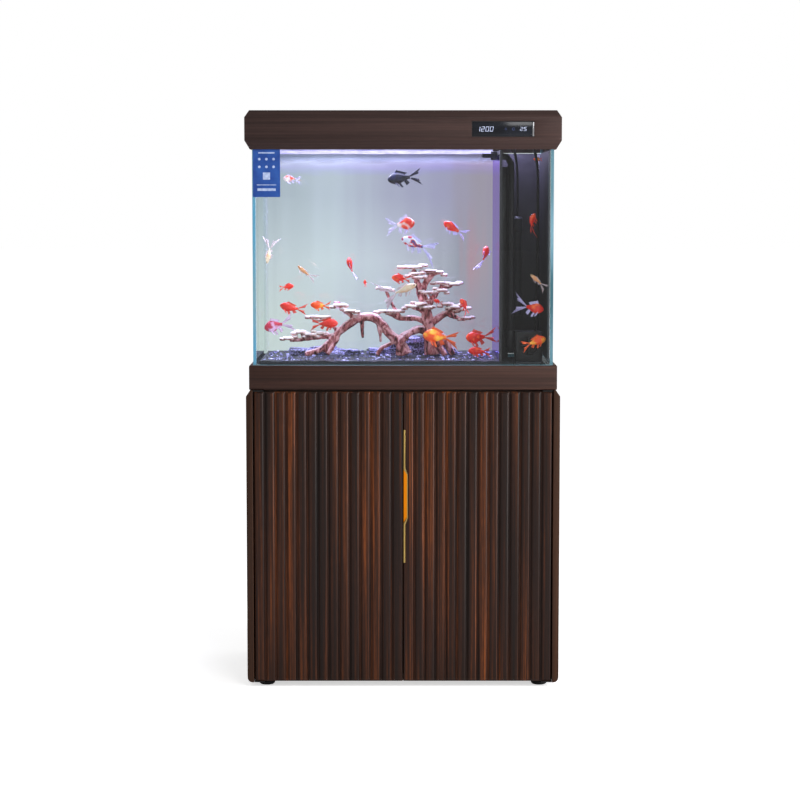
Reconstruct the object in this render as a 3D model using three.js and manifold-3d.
// Cabinet aquarium: slatted two-door cabinet, plinth, rimless tank with a filter bay, lidded light hood.
// Millimetres, +Z up. The origin is on the floor under the middle, and the front faces -Y.
import * as THREE from 'three';
import { mergeVertices } from 'three/addons/utils/BufferGeometryUtils.js';
import Module from 'manifold-3d';

const wasm = await Module();
wasm.setup();

// ---- Driving dimensions -------------------------------------------------------------------------
const GAP = 0.3;              // between pieces that touch
const WIDTH = 620;            // cabinet and hood, left to right
const DEPTH = 362;            // cabinet and hood, front to back
const FOOT_H = 9.5;
const CABINET_H = 584.8;
const PLINTH_H = 48.7;
const TANK_H = 439;           // bottom pane's underside to the rim
const HOOD_H = 76;
const HOOD_LAP = 8;           // how far the hood comes down round the rim

const SIDE_T = 13;            // cabinet side boards
const BOARD_T = 15;
const BACK_T = 5;
const DOOR_T = 18;
const DOOR_GAP = 2.5;         // round and between the doors
const RIBS = 14;              // ribs on one door
const RIB_BEVEL = 3.7;
const RIB_FLOOR = 2.05;       // flat floor between two ribs
const RIB_DEPTH = 3.5;
const PIVOT_IN = 6.5;         // hinge axis, in from the door's outer edge
const PIVOT_BACK = 7;         // hinge axis, behind the door's face
const PIVOT_PIN_R = 3;
const PIVOT_PIN_L = 8;
const PIVOT_LEAF_T = 2;
const PIVOT_LEAF_W = 24;
const PIVOT_LEAF_L = 49;
const PIN_PLAY = 0.3;
const PULL_W = 3.2;             // gold edge strip
const PULL_H = 265;
const PULL_DEPTH = 15;
const PULL_BULGE = 8.05;      // strip's outer edge round the finger pocket
const PULL_WALL = 1.6;
const POCKET_H = 86.8;
const PULL_Z = 383.5;         // middle of the pull
const FOOT_R = 16;
const FOOT_IN = 37;           // foot's axis, in from the cabinet's faces
const SHELF_Z = 300;
const CLEAT = 15;
const CATCH_W = 46;

const PLINTH_IN = 6;          // plinth set back from the cabinet's faces
const PLINTH_WALL = 18;
const PLINTH_LIP = 6.7;       // thin wall round the glass
const MAT_T = 3;
const GLASS_SINK = 7.3;       // how deep the glass sits in the plinth
const GLASS_PLAY = 1.3;       // glass to plinth lip

const GLASS_T = 6;
const FLOOR_T = 8;            // bottom pane
const BEAD = 5;               // silicone bead leg
const BAY_W = 95;             // filter bay inside
const DIVIDER_T = 5;
const COMB_H = 26;
const COMB_BELOW_RIM = 9;
const COMB_SLOT = 5;
const COMB_PITCH = 12;
const WATER_BELOW_RIM = 18;
const PIPE_R = 7;
const PIPE_BORE = 5;
const CABLE_R = 2.6;

const HOOD_WALL = 12;
const HOOD_TOP_T = 12;
const CHAMFER_TOP = [9, 14];      // in, down
const CHAMFER_BOTTOM = [10, 17];  // in, up
const LEDGE_IN = 11;
const LEDGE_T = 6;
const LID_FRONT_IN = 41;          // lid opening, in from the hood's front face
const LID_SIDE_IN = 40;
const LID_BACK_IN = 89;
const LID_PLAY = 0.5;
const LID_PIN_R = 2;
const DISPLAY_W = 122;
const DISPLAY_H = 30.6;
const DISPLAY_RIGHT_IN = 54;      // display's right end, in from the hood's end
const DISPLAY_UP = 24;            // display's lower edge above the hood's lower edge
const LED_W = 30;
const LED_IN = 46;                // LED bar's rear edge, in from the hood's back

// ---- Places that follow ---------------------------------------------------------------------------
const HX = WIDTH / 2;
const HY = DEPTH / 2;
const CABINET_TOP = FOOT_H + CABINET_H;
const PLINTH_Z = CABINET_TOP + GAP;
const PLINTH_TOP = PLINTH_Z + PLINTH_H;
const TANK_Z = PLINTH_TOP - GLASS_SINK;
const TANK_FLOOR = TANK_Z + FLOOR_T;
const RIM_Z = TANK_Z + TANK_H;
const HOOD_Z = RIM_Z - HOOD_LAP;
const HOOD_TOP = HOOD_Z + HOOD_H;
const GLASS_HX = HX - PLINTH_IN - PLINTH_LIP - GLASS_PLAY;
const GLASS_HY = HY - PLINTH_IN - PLINTH_LIP - GLASS_PLAY;
const TANK_HX = GLASS_HX - GLASS_T;      // inner faces of the tank
const TANK_HY = GLASS_HY - GLASS_T;
const BAY_X = TANK_HX - BAY_W;           // divider's right face
const DIVIDER_X = BAY_X - DIVIDER_T;
const BED_TOP = TANK_FLOOR + 8;

// ---- Finishes -------------------------------------------------------------------------------------
const finish = (color, roughness, metalness = 0) =>
  new THREE.MeshStandardMaterial({ color, roughness, metalness });
const clear = (color, opacity) =>
  new THREE.MeshStandardMaterial({ color, roughness: 0.05, transparent: true, opacity });
const WALNUT = finish('#45302a', 0.45);
const WALNUT_DARK = finish('#33251f', 0.5);
const CARCASS = finish('#4a3a32', 0.7);
const GOLD = finish('#c9a45c', 0.3, 1);
const STEEL = finish('#b8b8b8', 0.35, 1);
const RUBBER = finish('#141414', 0.8);
const BLACK_PLASTIC = finish('#1c1c20', 0.45);
const GREY_PLASTIC = finish('#3a3c42', 0.5);
const FOAM = finish('#26282c', 0.95);
const GLASS = clear('#bfe3ea', 0.25);
const SILICONE = clear('#dfe8ea', 0.6);
const BACKDROP = finish('#b8c7c6', 0.6);
const WOOD_DRIFT = finish('#8a6258', 0.8);
const SLATE = finish('#4c4a63', 0.85);
const SAND = finish('#2c2c30', 0.95);
const SPONGE = finish('#20262e', 1);
const CERAMIC = finish('#e5ded0', 0.9);
const CIRCUIT = finish('#1d5a36', 0.6);
const DIFFUSER = finish('#d6d2ff', 0.4);

// ---- Shape helpers --------------------------------------------------------------------------------
const outline = (points) => new THREE.Shape(points.map(([a, b]) => new THREE.Vector2(a, b)));
const rectangle = (hx, hy) => outline([[-hx, -hy], [hx, -hy], [hx, hy], [-hx, hy]]);
const circle = (r, a = 0, b = 0) => new THREE.Shape().absarc(a, b, r, 0, 2 * Math.PI, false);

// A box between two limits on each axis.
function block([x0, x1], [y0, y1], [z0, z1]) {
  const box = new THREE.BoxGeometry(x1 - x0, y1 - y0, z1 - z0);
  return box.translate((x0 + x1) / 2, (y0 + y1) / 2, (z0 + z1) / 2);
}

// A flat outline given thickness along one axis, read as (y, z), (x, z) or (x, y).
function prism(shape, axis, from, to, curveSegments = 8) {
  const solid = new THREE.ExtrudeGeometry(shape, { depth: to - from, bevelEnabled: false, curveSegments });
  if (axis === 'z') {
    return solid.translate(0, 0, from);
  }
  if (axis === 'y') {
    return solid.rotateX(Math.PI / 2).translate(0, to, 0);
  }
  const turn = new THREE.Matrix4().makeBasis(
    new THREE.Vector3(0, 1, 0), new THREE.Vector3(0, 0, 1), new THREE.Vector3(1, 0, 0));
  return solid.applyMatrix4(turn).translate(from, 0, 0);
}

// A round bar along one axis through (a, b), read as for prism.
const rod = (r, axis, from, to, a, b, sides = 16) => prism(circle(r, a, b), axis, from, to, sides / 2);

// A section swept along a smooth curve through the points.
function sweep(section, points, steps, curveSegments = 3) {
  const path = new THREE.CatmullRomCurve3(points.map((p) => new THREE.Vector3(...p)), false, 'centripetal');
  return new THREE.ExtrudeGeometry(section, { steps, extrudePath: path, bevelEnabled: false, curveSegments });
}

function toSolid(geometry) {
  const bare = geometry.clone();
  bare.deleteAttribute('normal');
  bare.deleteAttribute('uv');
  const merged = mergeVertices(bare, 1e-4);
  return new wasm.Manifold(new wasm.Mesh({
    numProp: 3,
    vertProperties: new Float32Array(merged.attributes.position.array),
    triVerts: new Uint32Array(merged.index.array),
  }));
}

function toGeometry(solid) {
  const { vertProperties, triVerts } = solid.getMesh();
  const geometry = new THREE.BufferGeometry();
  geometry.setAttribute('position', new THREE.BufferAttribute(vertProperties, 3));
  geometry.setIndex(new THREE.BufferAttribute(triVerts, 1));
  geometry.computeVertexNormals();
  return geometry;
}

const fold = (method) => (first, ...rest) =>
  toGeometry(rest.reduce((solid, next) => solid[method](toSolid(next)), toSolid(first)));
const join = fold('add');
const cut = fold('subtract');
const meet = fold('intersect');

// ---- Scene graph ----------------------------------------------------------------------------------
const aquarium = new THREE.Group();
const section = (parent = aquarium, position = [0, 0, 0]) => {
  const group = new THREE.Group();
  group.position.set(...position);
  parent.add(group);
  return group;
};
function put(group, name, geometry, material) {
  const mesh = new THREE.Mesh(geometry, material);
  mesh.name = name;
  group.add(mesh);
}
const SIDES = [['left', -1], ['right', 1]];
const span = (side, near, far) => [side * near, side * far].sort((a, b) => a - b);

// ---- Cabinet --------------------------------------------------------------------------------------
const CARCASS_HX = HX - SIDE_T;                 // inner faces of the side boards
const CARCASS_Y = -HY + DOOR_T + 2;             // front of the boards behind the doors
const BACK_Y = HY - 9;                          // front face of the back board
const DOOR_Z = [FOOT_H + DOOR_GAP + GAP, CABINET_TOP - DOOR_GAP - GAP];
const DOOR_OUTER = CARCASS_HX - DOOR_GAP;
const DOOR_INNER = DOOR_GAP / 2;
const PIVOT_X = DOOR_OUTER - PIVOT_IN;
const PIVOT_Y = -HY + PIVOT_BACK;
const LEAF_ROOM = PIVOT_LEAF_T + 2 * GAP;
const cabinet = section();

// Side board: its outer edge is cut off at the top and rounded at the bottom.
function sideBoard(side) {
  const corner = 12;
  const shape = new THREE.Shape();
  shape.moveTo(side * CARCASS_HX, FOOT_H);
  shape.lineTo(side * (HX - corner), FOOT_H);
  shape.quadraticCurveTo(side * HX, FOOT_H, side * HX, FOOT_H + corner);
  shape.lineTo(side * HX, CABINET_TOP - corner);
  shape.lineTo(side * (HX - 8), CABINET_TOP);
  shape.lineTo(side * CARCASS_HX, CABINET_TOP);
  return prism(shape, 'y', -HY, HY, 5);
}

// Flat board between the sides, with a recess for a hinge leaf at each front corner of one face.
function carcassBoard(z0, z1, recessZ) {
  const x = CARCASS_HX - GAP;
  const recesses = SIDES.map(([, side]) => block(
    span(side, PIVOT_X - PIVOT_LEAF_W / 2 - 2 * GAP, x + 1),
    [CARCASS_Y - 1, PIVOT_Y + PIVOT_LEAF_L - 4], recessZ));
  return cut(block([-x, x], [CARCASS_Y, BACK_Y - GAP], [z0, z1]), ...recesses);
}

// Back board with a cable hole and rows of air slots.
function backBoard() {
  const x = CARCASS_HX - GAP;
  const board = block([-x, x], [BACK_Y, BACK_Y + BACK_T], [FOOT_H + GAP, CABINET_TOP - GAP]);
  const hole = rod(25, 'y', BACK_Y - 1, BACK_Y + BACK_T + 1, x - 70, CABINET_TOP - 90, 20);
  const slots = [];
  for (let row = 0; row < 5; row += 1) {
    const z = CABINET_TOP - 110 + 10 * row;
    slots.push(block([-230, -110], [BACK_Y - 1, BACK_Y + BACK_T + 1], [z, z + 4.5]));
  }
  return cut(board, hole, ...slots);
}

// Hinge bracket: a leaf screwed under or over the board, and a pin that stands in the door.
function pivotBracket(side, leafZ, pinZ) {
  const leaf = block(
    span(side, PIVOT_X - PIVOT_LEAF_W / 2, Math.min(PIVOT_X + PIVOT_LEAF_W / 2, CARCASS_HX - 2 * GAP)),
    [PIVOT_Y - PIVOT_PIN_R - 2.5, PIVOT_Y + PIVOT_LEAF_L - 5], leafZ);
  const screws = [22, 38].map((along) =>
    rod(2, 'z', leafZ[0] - 1, leafZ[1] + 1, side * (PIVOT_X - 4), PIVOT_Y + along, 12));
  const pin = rod(PIVOT_PIN_R, 'z', pinZ[0], pinZ[1], side * PIVOT_X, PIVOT_Y);
  return cut(join(leaf, pin), ...screws);
}

function foot() {
  const top = FOOT_H - GAP;
  const profile = [[0, 0], [FOOT_R - 3, 0], [FOOT_R, 3], [FOOT_R, top - 2.5], [FOOT_R - 2, top], [0, top]];
  return new THREE.LatheGeometry(profile.map(([r, z]) => new THREE.Vector2(r, z)), 24).rotateX(Math.PI / 2);
}

for (const [name, side] of SIDES) {
  put(cabinet, `side_panel_${name}`, sideBoard(side), WALNUT);
  put(cabinet, `shelf_cleat_${name}`, block(
    span(side, CARCASS_HX - GAP - CLEAT, CARCASS_HX - GAP), [-HY + 81, HY - 41],
    [SHELF_Z - GAP - CLEAT, SHELF_Z - GAP]), CARCASS);
  for (const [end, back] of [['front', -1], ['rear', 1]]) {
    const corner = section(cabinet, [side * (HX - FOOT_IN), back * (HY - FOOT_IN), 0]);
    put(corner, `foot_${end}_${name}`, foot(), RUBBER);
  }
  const lowLeaf = [FOOT_H + GAP, FOOT_H + GAP + PIVOT_LEAF_T];
  const highLeaf = [CABINET_TOP - GAP - PIVOT_LEAF_T, CABINET_TOP - GAP];
  put(cabinet, `pivot_bracket_lower_${name}`,
    pivotBracket(side, lowLeaf, [lowLeaf[1] - 1, DOOR_Z[0] + PIVOT_PIN_L]), STEEL);
  put(cabinet, `pivot_bracket_upper_${name}`,
    pivotBracket(side, highLeaf, [DOOR_Z[1] - PIVOT_PIN_L, highLeaf[0] + 1]), STEEL);
}
put(cabinet, 'bottom_panel',
  carcassBoard(FOOT_H, FOOT_H + BOARD_T, [FOOT_H - 1, FOOT_H + LEAF_ROOM]), CARCASS);
put(cabinet, 'top_panel',
  carcassBoard(CABINET_TOP - BOARD_T, CABINET_TOP, [CABINET_TOP - LEAF_ROOM, CABINET_TOP + 1]), CARCASS);
put(cabinet, 'back_panel', backBoard(), CARCASS);
put(cabinet, 'shelf', block([-(CARCASS_HX - 2 * GAP), CARCASS_HX - 2 * GAP],
  [CARCASS_Y + 12, BACK_Y - GAP], [SHELF_Z, SHELF_Z + BOARD_T]), CARCASS);

// Magnetic catch under the top board, with one steel strike on each door.
const CATCH_Z = [CABINET_TOP - BOARD_T - GAP - 14, CABINET_TOP - BOARD_T - GAP];
const STRIKE_T = 1.2;
const strikeFront = -HY + DOOR_T + GAP;
put(cabinet, 'magnet_catch', cut(
  block([-CATCH_W / 2, CATCH_W / 2], [strikeFront + STRIKE_T + GAP, CARCASS_Y + 20], CATCH_Z),
  block([-2, 2], [CARCASS_Y - 2, CARCASS_Y + 8], [CATCH_Z[0] - 1, CATCH_Z[0] + 9])), GREY_PLASTIC);

// ---- Doors ----------------------------------------------------------------------------------------
const PITCH = (DOOR_OUTER - DOOR_INNER) / RIBS;
const PULL_EDGE = DOOR_INNER + PULL_W;      // strip's edge on the door side

// Plan of a ribbed leaf, from its inner edge to its outer edge along the face and back again.
function doorPlan(side) {
  const face = -HY;
  const floor = face + RIB_DEPTH;
  const points = [[DOOR_INNER, face + 1], [DOOR_INNER + 1, face]];
  for (let i = 1; i < RIBS; i += 1) {
    const x = DOOR_INNER + i * PITCH;
    const half = RIB_FLOOR / 2;
    points.push([x - half - RIB_BEVEL, face], [x - half, floor], [x + half, floor], [x + half + RIB_BEVEL, face]);
  }
  points.push([DOOR_OUTER - 3, face], [DOOR_OUTER, face + 3], [DOOR_OUTER, face + DOOR_T]);
  points.push([DOOR_INNER, face + DOOR_T]);
  return outline(points.map(([x, y]) => [side * x, y]));
}

// Outline of the edge pull seen from the front: a strip that swings round a finger pocket.
function pullOutline(grow) {
  const half = PULL_H / 2 + grow;
  const bay = POCKET_H / 2;
  const inner = DOOR_INNER - grow;
  const near = PULL_EDGE + grow;
  const far = DOOR_INNER + PULL_BULGE + grow;
  return outline([
    [inner, PULL_Z - half], [near, PULL_Z - half], [near, PULL_Z - bay - 13 - grow],
    [far, PULL_Z - bay - grow], [far, PULL_Z + bay + grow], [near, PULL_Z + bay + 13 + grow],
    [near, PULL_Z + half], [inner, PULL_Z + half]]);
}

function edgePull() {
  const body = prism(pullOutline(0), 'y', -HY, -HY + PULL_DEPTH);
  const far = DOOR_INNER + PULL_BULGE - PULL_WALL;
  const bay = POCKET_H / 2;
  const pocket = outline([
    [DOOR_INNER - 1, PULL_Z - bay - 13], [DOOR_INNER + 0.8, PULL_Z - bay - 9], [far, PULL_Z - bay],
    [far, PULL_Z + bay], [DOOR_INNER + 0.8, PULL_Z + bay + 9], [DOOR_INNER - 1, PULL_Z + bay + 13]]);
  return cut(body, prism(pocket, 'y', -HY - 1, -HY + PULL_DEPTH - 2));
}

function doorLeaf(side) {
  const bore = (z0, z1) => rod(PIVOT_PIN_R + PIN_PLAY, 'z', z0, z1, side * PIVOT_X, PIVOT_Y);
  const slope = (z, up) => prism(outline([
    [-HY - 1, z], [-HY - 1, z + up * (RIB_DEPTH + 1)], [-HY, z + up * RIB_DEPTH], [-HY + RIB_DEPTH, z]]),
  'x', -HX, HX);
  const cuts = [
    bore(DOOR_Z[0] - 1, DOOR_Z[0] + PIVOT_PIN_L + 1),
    bore(DOOR_Z[1] - PIVOT_PIN_L - 1, DOOR_Z[1] + 1),
    slope(DOOR_Z[0] - 0.01, 1),
    slope(DOOR_Z[1] + 0.01, -1),
  ];
  if (side > 0) {
    cuts.push(prism(pullOutline(GAP), 'y', -HY - 1, -HY + PULL_DEPTH + GAP));
  }
  return cut(prism(doorPlan(side), 'z', DOOR_Z[0], DOOR_Z[1]), ...cuts);
}

for (const [name, side] of SIDES) {
  const leaf = section();
  put(leaf, `door_${name}_panel`, doorLeaf(side), WALNUT);
  put(leaf, `strike_${name}`, block(
    span(side, DOOR_INNER + 4, CATCH_W / 2), [strikeFront, strikeFront + STRIKE_T],
    [CATCH_Z[0] + 1, CATCH_Z[1] - 1]), STEEL);
}
put(section(), 'door_handle', edgePull(), GOLD);

// ---- Plinth ---------------------------------------------------------------------------------------
const plinth = section();
const PLINTH_HX = HX - PLINTH_IN;
const PLINTH_HY = HY - PLINTH_IN;
const MAT_TOP = TANK_Z - GAP;
const DECK_TOP = MAT_TOP - MAT_T - GAP;
const REBATE_Z = DECK_TOP - BOARD_T - GAP;

function plinthFrame() {
  const round = 2;
  const outer = new THREE.ExtrudeGeometry(rectangle(PLINTH_HX - round, PLINTH_HY - round), {
    depth: PLINTH_H - 2 * round, bevelThickness: round, bevelSize: round, bevelSegments: 2,
  }).translate(0, 0, PLINTH_Z + round);
  const hx = PLINTH_HX - PLINTH_WALL;
  const hy = PLINTH_HY - PLINTH_WALL;
  return cut(outer,
    block([-hx, hx], [-hy, hy], [PLINTH_Z - 1, PLINTH_TOP + 1]),
    block([-(PLINTH_HX - PLINTH_LIP), PLINTH_HX - PLINTH_LIP],
      [-(PLINTH_HY - PLINTH_LIP), PLINTH_HY - PLINTH_LIP], [REBATE_Z, PLINTH_TOP + 1]));
}

const deckX = PLINTH_HX - PLINTH_LIP - GAP;
const deckY = PLINTH_HY - PLINTH_LIP - GAP;
put(plinth, 'plinth_frame', plinthFrame(), WALNUT_DARK);
put(plinth, 'plinth_deck', block([-deckX, deckX], [-deckY, deckY], [REBATE_Z + GAP, DECK_TOP]), CARCASS);
put(plinth, 'foam_mat', block([-GLASS_HX, GLASS_HX], [-GLASS_HY, GLASS_HY],
  [MAT_TOP - MAT_T, MAT_TOP]), FOAM);

// ---- Tank -----------------------------------------------------------------------------------------
const tank = section();
const WALL_Z = [TANK_FLOOR + GAP, RIM_Z];
const paneX = TANK_HX - GAP;

put(tank, 'glass_bottom', block([-GLASS_HX, GLASS_HX], [-GLASS_HY, GLASS_HY], [TANK_Z, TANK_FLOOR]), GLASS);
put(tank, 'glass_front', block([-paneX, paneX], [-GLASS_HY, -TANK_HY], WALL_Z), GLASS);
put(tank, 'glass_back', block([-paneX, paneX], [TANK_HY, GLASS_HY], WALL_Z), GLASS);
for (const [name, side] of SIDES) {
  put(tank, `glass_${name}`, block(span(side, TANK_HX, GLASS_HX), [-GLASS_HY, GLASS_HY], WALL_Z), GLASS);
}
put(tank, 'background_film', block([-paneX, DIVIDER_X], [GLASS_HY + GAP, GLASS_HY + GAP + 0.5],
  [PLINTH_TOP + 1, HOOD_Z - 1]), BACKDROP);

// Silicone: triangular beads round the floor and up the four corners, cured into one piece. Each bead
// starts a little inside the ones that it crosses.
function siliconeSeams() {
  const x = TANK_HX - GAP;
  const y = TANK_HY - GAP;
  const z = TANK_FLOOR + GAP;
  const tuck = 0.2;
  const beads = [];
  for (const [, s] of SIDES) {
    const long = outline([[s * y, z], [s * (y - BEAD), z], [s * y, z + BEAD]]);
    beads.push(prism(long, 'x', -x + tuck, x - tuck));
    const low = z + tuck;
    const short = outline([[s * x, low], [s * (x - BEAD), low], [s * x, low + BEAD]]);
    beads.push(prism(short, 'y', -y + tuck, y - tuck));
    for (const [, t] of SIDES) {
      const px = x - tuck / 2;
      const py = y - tuck / 2;
      const corner = outline([[s * px, t * py], [s * (px - BEAD), t * py], [s * px, t * (py - BEAD)]]);
      beads.push(prism(corner, 'z', z + tuck / 2, HOOD_Z));
    }
  }
  return join(...beads);
}
put(tank, 'silicone_seams', siliconeSeams(), SILICONE);

// Divider between the tank and the filter bay, its lower corners cut clear of the silicone.
const COMB_TOP = RIM_Z - COMB_BELOW_RIM;
const COMB_Z = COMB_TOP - COMB_H;
const WATER_Z = RIM_Z - WATER_BELOW_RIM;
const PIPE_Y = -40;
const dividerY = TANK_HY - 2 * GAP;
const beadClear = BEAD + 1;
put(tank, 'divider_panel', prism(outline([
  [-dividerY + beadClear, TANK_FLOOR + GAP], [dividerY - beadClear, TANK_FLOOR + GAP],
  [dividerY, TANK_FLOOR + GAP + beadClear], [dividerY, COMB_Z - GAP],
  [-dividerY, COMB_Z - GAP], [-dividerY, TANK_FLOOR + GAP + beadClear]]),
'x', DIVIDER_X, BAY_X), BLACK_PLASTIC);

// Overflow comb: slots open at the top, and one wide notch that the outlet pipe passes through.
function overflowComb() {
  const plate = block([DIVIDER_X, BAY_X], [-dividerY, dividerY], [COMB_Z, COMB_TOP]);
  const slotFloor = COMB_TOP - 18;
  const cuts = [];
  const count = Math.floor((2 * dividerY - COMB_PITCH) / COMB_PITCH);
  for (let i = 0; i < count; i += 1) {
    const y = (i - (count - 1) / 2) * COMB_PITCH;
    if (Math.abs(y - PIPE_Y) > PIPE_R + COMB_SLOT + 2) {
      cuts.push(block([DIVIDER_X - 1, BAY_X + 1], [y - COMB_SLOT / 2, y + COMB_SLOT / 2],
        [slotFloor, COMB_TOP + 1]));
    }
  }
  const notch = PIPE_R + 2 * GAP;
  cuts.push(block([DIVIDER_X - 1, BAY_X + 1], [PIPE_Y - notch, PIPE_Y + notch],
    [WATER_Z - notch, COMB_TOP + 1]));
  return cut(plate, ...cuts);
}
put(tank, 'overflow_comb', overflowComb(), BLACK_PLASTIC);

// Black liner on the back and the end of the filter bay.
function bayLiner() {
  const t = 1.5;
  const left = BAY_X + GAP;
  const right = TANK_HX - 2 * GAP;
  const back = TANK_HY - 2 * GAP;
  const front = -TANK_HY + beadClear + 1;
  const corner = beadClear;
  const plan = outline([
    [left, back], [left, back - t], [right - corner - t / 2, back - t], [right - t, back - corner - t / 2],
    [right - t, front], [right, front], [right, back - corner], [right - corner, back]]);
  return prism(plan, 'z', TANK_FLOOR + beadClear + 1, HOOD_Z - 2);
}
put(tank, 'compartment_liner', bayLiner(), BLACK_PLASTIC);

// ---- Filter bay -----------------------------------------------------------------------------------
const filter = section(aquarium, [BAY_X, 0, TANK_FLOOR]);   // from here x = 0 is the divider, z = 0 the floor
const CASSETTE_X = [3, 19];
const CASSETTE_Y = [-20, TANK_HY - 21];
const CASSETTE_H = COMB_Z - TANK_FLOOR - 5;
const CASSETTE_FLOOR = 60;
const CASSETTE_WALL = 1.6;
const inset = ([a, b], by) => [a + by, b - by];

// Filter cassette: an open box on legs with a slotted floor.
function filterCassette() {
  const inX = inset(CASSETTE_X, CASSETTE_WALL);
  const inY = inset(CASSETTE_Y, CASSETTE_WALL);
  const cuts = [
    block(inX, inY, [CASSETTE_FLOOR, CASSETTE_H + 1]),
    block(inX, inY, [-1, CASSETTE_FLOOR - 3]),
    block([0, 30], inset(CASSETTE_Y, 12), [-1, CASSETTE_FLOOR - 14]),
  ];
  for (let y = CASSETTE_Y[0] + 10; y < CASSETTE_Y[1] - 10; y += 12) {
    cuts.push(block(inset(CASSETTE_X, 4), [y, y + 5], [CASSETTE_FLOOR - 4, CASSETTE_FLOOR + 1]));
  }
  return cut(block(CASSETTE_X, CASSETTE_Y, [GAP, CASSETTE_H]), ...cuts);
}
const loadX = inset(CASSETTE_X, CASSETTE_WALL + GAP);
const loadY = inset(CASSETTE_Y, CASSETTE_WALL + GAP);
const MEDIA_TOP = CASSETTE_FLOOR + 150;
put(filter, 'filter_cassette', filterCassette(), BLACK_PLASTIC);
put(filter, 'bio_media', block(loadX, loadY, [CASSETTE_FLOOR + GAP, MEDIA_TOP]), CERAMIC);
put(filter, 'filter_sponge', block(loadX, loadY, [MEDIA_TOP + GAP, CASSETTE_H - 20]), SPONGE);

// Pump: a block on the bay's floor with an impeller well open to the front and a spigot for the riser.
const PUMP = { x: [32, 86], y: [-75, -15], h: 60 };
const RISER_X = 23;
const WELL_R = 19;
const IMPELLER_R = 16;
const SHAFT_R = 2;
const WELL_DEPTH = 18;
const WELL = { x: 59, z: 32 };
const SPIGOT_TOP = 60;

function pumpBody() {
  const { x, y, h } = PUMP;
  const spigot = rod(PIPE_R + 4, 'z', SPIGOT_TOP - 34, SPIGOT_TOP, RISER_X, PIPE_Y);
  const neck = block([RISER_X, x[0] + 2], [PIPE_Y - 8, PIPE_Y + 8], [SPIGOT_TOP - 34, SPIGOT_TOP - 18]);
  return cut(
    join(block(x, y, [GAP, h]), spigot, neck),
    rod(WELL_R, 'y', y[0] - 1, y[0] + WELL_DEPTH, WELL.x, WELL.z, 24),
    rod(SHAFT_R + PIN_PLAY, 'y', y[0], y[0] + WELL_DEPTH + 14, WELL.x, WELL.z),
    rod(PIPE_R + GAP, 'z', SPIGOT_TOP - 16, SPIGOT_TOP + 1, RISER_X, PIPE_Y));
}

// Impeller: four blades on a hub whose shaft runs back into the pump.
function pumpImpeller() {
  const front = PUMP.y[0] + 3;
  const back = PUMP.y[0] + WELL_DEPTH - 2;
  const blades = [0, 1].map((turn) => block([-IMPELLER_R, IMPELLER_R], [front, back], [-1, 1])
    .rotateY(turn * Math.PI / 2).translate(WELL.x, 0, WELL.z));
  return join(rod(5, 'y', front, back, WELL.x, WELL.z),
    rod(SHAFT_R, 'y', front, back + 13, WELL.x, WELL.z), ...blades);
}
put(filter, 'pump_body', pumpBody(), BLACK_PLASTIC);
put(filter, 'pump_impeller', pumpImpeller(), GREY_PLASTIC);

// Riser: up from the pump, then through the comb's notch into the tank.
const WATER_UP = WATER_Z - TANK_FLOOR;
const NOZZLE_X = -DIVIDER_T - 1;                // collar's end face
const pipeSection = circle(PIPE_R);
pipeSection.holes.push(new THREE.Path().absarc(0, 0, PIPE_BORE, 0, 2 * Math.PI, true));
put(filter, 'riser_tube', sweep(pipeSection, [
  [RISER_X, PIPE_Y, SPIGOT_TOP - 16 + GAP], [RISER_X, PIPE_Y, SPIGOT_TOP + 150],
  [RISER_X, PIPE_Y, WATER_UP - 30], [RISER_X, PIPE_Y, WATER_UP - 16], [RISER_X - 5, PIPE_Y, WATER_UP - 5],
  [RISER_X - 16, PIPE_Y, WATER_UP], [0, PIPE_Y, WATER_UP], [NOZZLE_X - 10, PIPE_Y, WATER_UP]], 26, 5),
BLACK_PLASTIC);

// Outlet nozzle: a collar that turns on the pipe's end, and a flat bill.
function outletNozzle() {
  const collar = rod(PIPE_R + 2, 'x', NOZZLE_X - 12, NOZZLE_X, PIPE_Y, WATER_UP, 20);
  const bill = (grow, x0, x1) => prism(outline([
    [x1, PIPE_Y - 7 + grow], [x1, PIPE_Y + 7 - grow], [x0, PIPE_Y + 20 - grow], [x0, PIPE_Y - 20 + grow]]),
  'z', WATER_UP - 4 + grow, WATER_UP + 4 - grow);
  return cut(join(collar, bill(0, NOZZLE_X - 30, NOZZLE_X - 8)),
    bill(1.4, NOZZLE_X - 31, NOZZLE_X - 9),
    rod(PIPE_R + PIN_PLAY, 'x', NOZZLE_X - 11, NOZZLE_X + 1, PIPE_Y, WATER_UP, 20));
}
put(filter, 'outlet_nozzle', outletNozzle(), BLACK_PLASTIC);

// Heater: a capped tube held upright by two suction feet against the liner.
const HEATER = { x: 45, y: TANK_HY - 31, low: 80, high: 290 };
function heater() {
  const { x, y, low, high } = HEATER;
  const profile = [[0, low], [8, low], [10, low + 3], [10, low + 14], [9, low + 16], [9, high - 32],
    [11, high - 30], [11, high - 4], [8, high], [0, high]];
  const tube = new THREE.LatheGeometry(profile.map(([r, z]) => new THREE.Vector2(r, z)), 20)
    .rotateX(Math.PI / 2).translate(x, y, 0);
  const wall = TANK_HY - 2 * GAP - 1.5 - GAP;
  const feet = [low + 30, high - 60].map((z) => join(
    rod(3, 'y', y, wall - 2, x, z, 12), rod(9, 'y', wall - 3, wall, x, z, 16)));
  return join(tube, ...feet);
}
put(filter, 'heater', heater(), GREY_PLASTIC);

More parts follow.
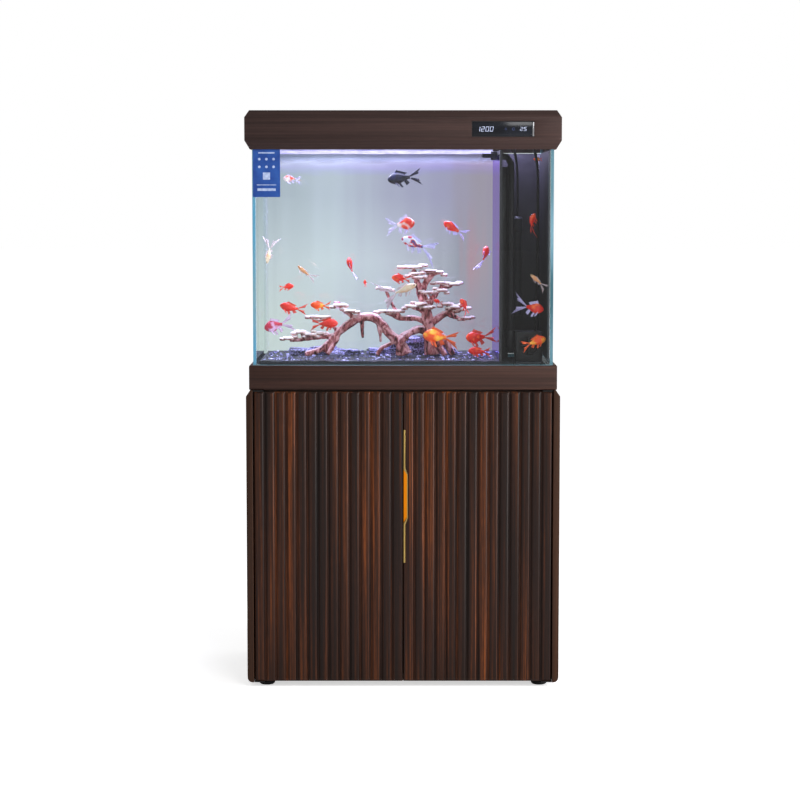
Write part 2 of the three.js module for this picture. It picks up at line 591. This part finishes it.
// ---- Hood -----------------------------------------------------------------------------------------
const hood = section();
const UNDER_TOP = HOOD_TOP - HOOD_TOP_T;
const LID_X = HX - LID_SIDE_IN;
const LID_Y = [-HY + LID_FRONT_IN, HY - LID_BACK_IN];
const LID_AXIS = { y: LID_Y[1] - HOOD_TOP_T / 2 - 1, z: HOOD_TOP - HOOD_TOP_T / 2 };
const LID_PIN_L = 24;
const DISPLAY_X = [HX - DISPLAY_RIGHT_IN - DISPLAY_W, HX - DISPLAY_RIGHT_IN];
const DISPLAY_Z = [HOOD_Z + DISPLAY_UP, HOOD_Z + DISPLAY_UP + DISPLAY_H];
const BEZEL_DEPTH = 6.7;
const GLAND = { x: HX - 70, z: HOOD_Z + 33, r: 7 };
const NOTCH_R = 14;

// Eight-sided profile: a block with its long edges cut off above and below.
function chamferedProfile(half) {
  const [ti, td] = CHAMFER_TOP;
  const [bi, bu] = CHAMFER_BOTTOM;
  return outline([[-half + bi, HOOD_Z], [half - bi, HOOD_Z], [half, HOOD_Z + bu], [half, HOOD_TOP - td],
    [half - ti, HOOD_TOP], [-half + ti, HOOD_TOP], [-half, HOOD_TOP - td], [-half, HOOD_Z + bu]]);
}

function hoodFrame() {
  const outer = meet(prism(chamferedProfile(HY), 'x', -HX, HX), prism(chamferedProfile(HX), 'y', -HY, HY));
  const inX = HX - HOOD_WALL;
  const inY = HY - HOOD_WALL;
  const ledgeX = inX - LEDGE_IN - 1;
  const ledgeY = inY - LEDGE_IN - 1;
  const seat = RIM_Z + GAP;
  const rimX = GLASS_HX + 2 * GAP;
  const rimY = GLASS_HY + 2 * GAP + 0.5;
  const shell = cut(outer,
    block([-inX, inX], [-inY, inY], [seat + LEDGE_T, UNDER_TOP]),
    block([-ledgeX, ledgeX], [-ledgeY, ledgeY], [HOOD_Z - 1, seat + LEDGE_T + 1]),
    block([-rimX, rimX], [-rimY, rimY], [HOOD_Z - 1, seat]),
    block([-LID_X, LID_X], LID_Y, [UNDER_TOP - 1, HOOD_TOP + 1]),
    block(DISPLAY_X, [-HY - 1, -HY + BEZEL_DEPTH + GAP], DISPLAY_Z),
    block(inset(DISPLAY_X, 6), [-HY, -inY + 1], inset(DISPLAY_Z, 5)),
    rod(GLAND.r + GAP, 'y', inY - 1, HY + 1, GLAND.x, GLAND.z),
    rod(LID_PIN_R + PIN_PLAY, 'x', -LID_X - LID_PIN_L / 2, LID_X + LID_PIN_L / 2, LID_AXIS.y, LID_AXIS.z));
  // Lip under the lid's front edge, open in the middle below the finger notch.
  const lipZ = UNDER_TOP - GAP;
  const lips = SIDES.map(([, side]) => join(
    block(span(side, NOTCH_R + 6, LID_X - 10), [LID_Y[0] - 10, LID_Y[0] + 6], [lipZ - 4, lipZ]),
    block(span(side, NOTCH_R + 6, LID_X - 10), [LID_Y[0] - 10, LID_Y[0] - 1], [lipZ - 1, UNDER_TOP + 1])));
  return join(shell, ...lips);
}

// Lid: flush with the top, its rear edge rounded about the hinge axis, with a finger notch in front.
function hoodLid() {
  const front = LID_Y[0] + LID_PLAY;
  const half = HOOD_TOP_T / 2;
  const shape = new THREE.Shape();
  shape.moveTo(front, HOOD_TOP - HOOD_TOP_T);
  shape.lineTo(LID_AXIS.y, HOOD_TOP - HOOD_TOP_T);
  shape.absarc(LID_AXIS.y, LID_AXIS.z, half, -Math.PI / 2, Math.PI / 2, false);
  shape.lineTo(front, HOOD_TOP);
  const x = LID_X - LID_PLAY;
  return cut(prism(shape, 'x', -x, x),
    rod(NOTCH_R, 'z', UNDER_TOP - 1, HOOD_TOP + 1, 0, front, 20),
    ...SIDES.map(([, side]) => rod(LID_PIN_R + PIN_PLAY, 'x',
      ...span(side, LID_X - LID_PIN_L / 2 - 1, LID_X + 1), LID_AXIS.y, LID_AXIS.z)));
}

put(hood, 'hood_frame', hoodFrame(), WALNUT_DARK);
put(section(), 'hood_lid', hoodLid(), WALNUT_DARK);
for (const [name, side] of SIDES) {
  const reach = LID_PIN_L / 2 - GAP;
  put(hood, `lid_hinge_pin_${name}`, rod(LID_PIN_R, 'x',
    ...span(side, LID_X - reach, LID_X + reach), LID_AXIS.y, LID_AXIS.z), STEEL);
}

// Display: a tray in the front wall with a circuit board, a dark window and a bright bar at its end.
const TRIM_W = 3;
const LEAD_HOLES = [41, 86];       // holes for the two leads, along from the display's left end
const bezelX = inset(DISPLAY_X, GAP);
const bezelZ = inset(DISPLAY_Z, GAP);
const bezelY = [-HY + 0.1, -HY + BEZEL_DEPTH];
const windowX = [bezelX[0] + 1.2, bezelX[1] - TRIM_W - 2 * GAP];
const windowY = [-HY + 0.6, -HY + 2.6];
put(hood, 'display_bezel', cut(block(bezelX, bezelY, bezelZ),
  block([windowX[0] - GAP, bezelX[1] + 1], [-HY - 1, windowY[1] + GAP], inset(bezelZ, 1)),
  block([windowX[0] + 2, windowX[1] - 2], [-HY, bezelY[1] - 1.5], inset(bezelZ, 3)),
  ...LEAD_HOLES.map((along) => block([DISPLAY_X[0] + along - 7, DISPLAY_X[0] + along + 7],
    [-HY, bezelY[1] + 1], inset(bezelZ, 10)))), BLACK_PLASTIC);
put(hood, 'display_window', block(windowX, windowY, inset(bezelZ, 1 + GAP)), BLACK_PLASTIC);
put(hood, 'display_trim', block([bezelX[1] - TRIM_W, bezelX[1]], [-HY + 0.2, windowY[1]],
  inset(bezelZ, 1 + GAP)), STEEL);
put(hood, 'control_board', block([windowX[0] + 2 + GAP, windowX[1] - 2 - GAP],
  [windowY[1] + 2 * GAP, bezelY[1] - 1.5 - GAP], inset(bezelZ, 3 + GAP)), CIRCUIT);

// LED bar hung under the rear of the top, open below where the diffuser closes it.
const LED_Y = [HY - LED_IN - LED_W, HY - LED_IN];
const LED_TOP = UNDER_TOP - GAP;
const LED_H = 18;
const LED_X = LID_X;
put(hood, 'led_bar', cut(block([-LED_X, LED_X], LED_Y, [LED_TOP - LED_H, LED_TOP]),
  block(inset([-LED_X, LED_X], 3), inset(LED_Y, 3), [LED_TOP - LED_H - 1, LED_TOP - 5])), STEEL);
put(hood, 'led_diffuser', block(inset([-LED_X, LED_X], 3 + GAP), inset(LED_Y, 3 + GAP),
  [LED_TOP - LED_H, LED_TOP - LED_H + 3]), DIFFUSER);

// Cable gland set in the rear wall, with its bore left open for a mains lead.
function cableGland() {
  const profile = [[3, 0], [GLAND.r + 3, 0], [GLAND.r + 3, 3], [GLAND.r, 3],
    [GLAND.r, HOOD_WALL + 3], [3, HOOD_WALL + 3], [3, 0]];
  return new THREE.LatheGeometry(profile.map(([r, h]) => new THREE.Vector2(r, h)), 20)
    .translate(GLAND.x, HY - HOOD_WALL - 3 - GAP, 0);
}
put(section(hood, [0, 0, GLAND.z]), 'cable_gland', cableGland(), BLACK_PLASTIC);

// Leads of the pump and the heater, up through the hood to the display's circuit board.
const leadSection = circle(CABLE_R);
put(section(), 'pump_cable', sweep(leadSection, [
  [268, -50, 704.6], [270, -48, 760], [272, -46, 860], [272, -50, 960], [270, -62, 1030], [262, -86, 1068],
  [248, -112, 1092], [230, -140, 1104], [222, -158, 1106], [220, -173.9, 1106]], 44, 4), RUBBER);
put(section(), 'heater_cable', sweep(leadSection, [
  [240, 130, 934.6], [240, 130, 990], [238, 122, 1040], [232, 104, 1070], [222, 72, 1090], [205, 10, 1100],
  [188, -70, 1104], [178, -130, 1106], [175, -158, 1106], [175, -173.9, 1106]], 40, 4), RUBBER);

// ---- Decor ----------------------------------------------------------------------------------------
const decor = section();
const BED_EDGE = BEAD + 2 * GAP;
put(decor, 'gravel_bed', block([-TANK_HX + BED_EDGE, DIVIDER_X - GAP],
  [-TANK_HY + BED_EDGE, TANK_HY - BED_EDGE], [TANK_FLOOR + GAP, BED_TOP]), SAND);

// Driftwood limbs stand on the bed: a thickness, then the points each limb runs through.
const limbs = [
  [15, [[60, -6, 2], [56, -6, 38], [50, -6, 78], [44, -4, 110]]],
  [10, [[46, -4, 100], [38, -2, 124], [31, 0, 146]]],
  [6.5, [[32, 0, 140], [26, 0, 158], [22, 0, 174]]],
  [6.5, [[38, -2, 122], [48, 2, 150], [60, 4, 164], [70, 4, 168]]],
  [6.5, [[48, -4, 90], [62, 0, 118], [76, 2, 136], [100, 4, 142]]],
  [6.5, [[54, -6, 60], [72, -8, 76], [92, -8, 88], [106, -8, 93], [118, -8, 90]]],
  [5.5, [[92, -8, 86], [110, -10, 78], [127, -10, 72]]],
  [5.5, [[46, -6, 86], [30, -16, 96], [18, -20, 98]]],
  [6.5, [[50, -6, 68], [23, -8, 76], [-6, -8, 76], [-30, -8, 86]]],
  [4, [[-6, -8, 76], [-24, -2, 108], [-35, 0, 133]]],
  [8, [[52, -8, 48], [31, -16, 54], [14, -26, 47], [-6, -32, 24], [-9, -34, 1]]],
  [6.5, [[40, -12, 54], [8, -20, 45], [-20, -24, 28], [-43, -32, 16], [-52, -36, 2]]],
  [8, [[58, -8, 38], [67, -16, 33], [78, -26, 16], [86, -30, 1]]],
  [8, [[62, -6, 48], [81, -6, 37], [94, -8, 16], [103, -10, 1]]],
  [9.5, [[4, -24, 2], [-6, -22, 24], [-22, -20, 38], [-45, -20, 67], [-64, -20, 79], [-88, -20, 77],
    [-112, -20, 63], [-133, -22, 46], [-149, -24, 28], [-158, -26, 6]]],
  [12, [[6, -24, 2], [-5, -22, 24], [-20, -20, 38], [-34, -20, 54]]],
  [10, [[66, -8, 2], [62, -8, 26], [54, -6, 52]]],
  [6.5, [[-133, -22, 46], [-158, -28, 20], [-173, -32, 11], [-199, -36, 4]]],
  [5.5, [[-128, -22, 50], [-140, -30, 23], [-154, -38, 3]]],
  [5.5, [[-136, -22, 42], [-152, -18, 40], [-179, -16, 37], [-210, -14, 32], [-230, -12, 31]]],
  [5.5, [[-96, -20, 76], [-118, -18, 90], [-128, -16, 98]]],
  [4.5, [[-131, -22, 48], [-146, -18, 64], [-160, -16, 74], [-178, -14, 75]]],
  [4, [[-84, -20, 76], [-83, -24, 53], [-82, -26, 36]]],
  [4, [[-51, -20, 70], [-47, -24, 48], [-45, -26, 28]]],
];
// Shelf plates: where each twig leaves its limb, where its plate is, and the plate's radius.
const plates = [
  [[26, 0, 160], [20, 0, 180], 20], [[28, 0, 154], [24, -8, 167], 14], [[30, 0, 146], [31, -10, 159], 14],
  [[56, 3, 160], [55, 0, 172], 14], [[62, 4, 164], [70, 4, 169], 14], [[76, 2, 136], [76, -2, 148], 14],
  [[96, 4, 141], [102, 4, 145], 15], [[58, 0, 112], [51, -10, 128], 14], [[70, 1, 129], [78, -10, 133], 12],
  [[42, -6, 92], [36, -16, 106], 14], [[24, -18, 97], [18, -22, 101], 14], [[49, -6, 86], [50, -20, 98], 12],
  [[88, -8, 86], [90, -8, 105], 14], [[104, -8, 92], [106, -14, 99], 13], [[114, -8, 91], [120, -8, 94], 13],
  [[122, -10, 73], [129, -10, 76], 13], [[-24, -8, 84], [-37, -8, 90], 15], [[-10, -8, 77], [-16, -12, 90], 13],
  [[-33, 0, 128], [-35, 0, 136], 13], [[-226, -12, 31], [-234, -12, 35], 13],
  [[-205, -14, 33], [-210, -10, 48], 13], [[-184, -16, 37], [-188, -20, 43], 12],
  [[-170, -16, 38], [-170, -12, 45], 12], [[-126, -16, 96], [-129, -16, 103], 14],
  [[-104, -19, 81], [-108, -24, 91], 13], [[-156, -16, 71], [-159, -16, 78], 13],
  [[-174, -14, 75], [-181, -14, 79], 13],
];

function driftwoodTree() {
  const parts = limbs.map(([r, points]) => sweep(circle(r), points, 2 * (points.length - 1)));
  for (const [from, to, r] of plates) {
    const middle = from.map((value, axis) => (value + to[axis]) / 2);
    parts.push(sweep(circle(2.2), [from, middle, to], 2, 2));
    parts.push(rod(r, 'z', to[2] - 2, to[2] + 2.5, to[0], to[1], 8));
  }
  return cut(join(...parts), block([-300, 200], [-100, 100], [-30, GAP]));
}

// Slate piles: overlapping slabs, each with a place, a size and two turns.
function slatePile(slabs) {
  const parts = slabs.map(([place, size, turn, tilt]) =>
    new THREE.BoxGeometry(...size).rotateY(tilt).rotateZ(turn).translate(...place));
  return cut(join(...parts), block([-300, 300], [-100, 100], [-60, GAP]));
}
const leftSlabs = [
  [[-205, 32, 4], [60, 40, 16], 0.14, 0.06], [[-165, 36, 6], [62, 38, 20], -0.16, -0.08],
  [[-132, 32, 4], [50, 40, 17], 0.1, 0.07], [[-106, 30, 3], [38, 34, 13], -0.12, -0.05],
];
const rightSlabs = [
  [[-46, 46, 3], [56, 46, 15], 0.1, 0.05], [[-10, 50, 10], [60, 44, 26], -0.14, -0.1],
  [[32, 54, 16], [56, 42, 46], 0.12, 0.08], [[66, 52, 10], [54, 42, 28], -0.15, -0.1],
  [[93, 48, 4], [40, 36, 15], 0.1, 0.05],
];
const onBed = section(decor, [0, 0, BED_TOP]);
put(onBed, 'driftwood_tree', driftwoodTree(), WOOD_DRIFT);
put(onBed, 'rock_pile_left', slatePile(leftSlabs), SLATE);
put(onBed, 'rock_pile_right', slatePile(rightSlabs), SLATE);

export default aquarium;
